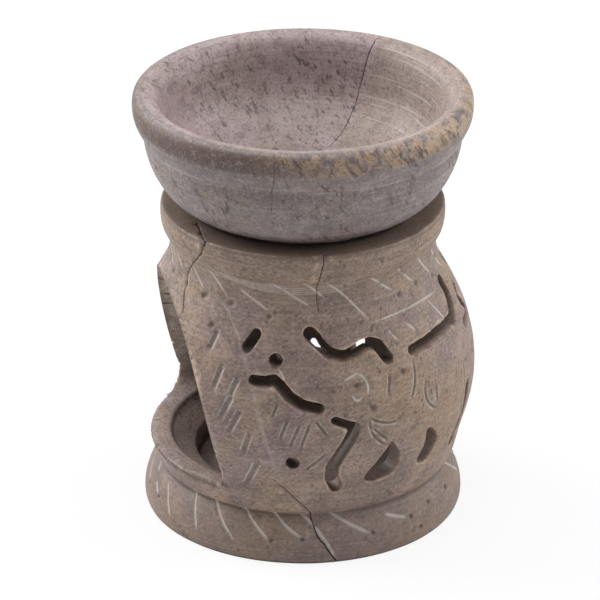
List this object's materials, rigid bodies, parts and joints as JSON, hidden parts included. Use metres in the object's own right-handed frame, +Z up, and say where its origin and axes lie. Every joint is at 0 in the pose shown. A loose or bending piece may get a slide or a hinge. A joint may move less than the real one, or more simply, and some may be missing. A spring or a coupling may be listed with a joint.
{
  "type": "essential oil burner",
  "caption": "Turned and pierced stone oil burner: a hollow body with an arched doorway for a tealight and a loose bowl that rests on its top.",
  "frame": {"origin": "centre of the base, on the surface that it stands on", "axes": "+Z up along the turning axis, -Y out of the doorway"},
  "size_m": [0.0746, 0.0734, 0.0953],
  "materials": {
    "body_stone": "turned and carved, matt",
    "bowl_stone": "turned, satin"
  },
  "bodies": {
    "burner": {"burner_body": "body_stone"},
    "bowl": {"oil_bowl": "bowl_stone"}
  },
  "joints": [
    {"name": "bowl_lift", "type": "slide", "parent": "burner", "child": "bowl", "axis": [0, 0, 1], "range_m": [0, 0.05]}
  ]
}
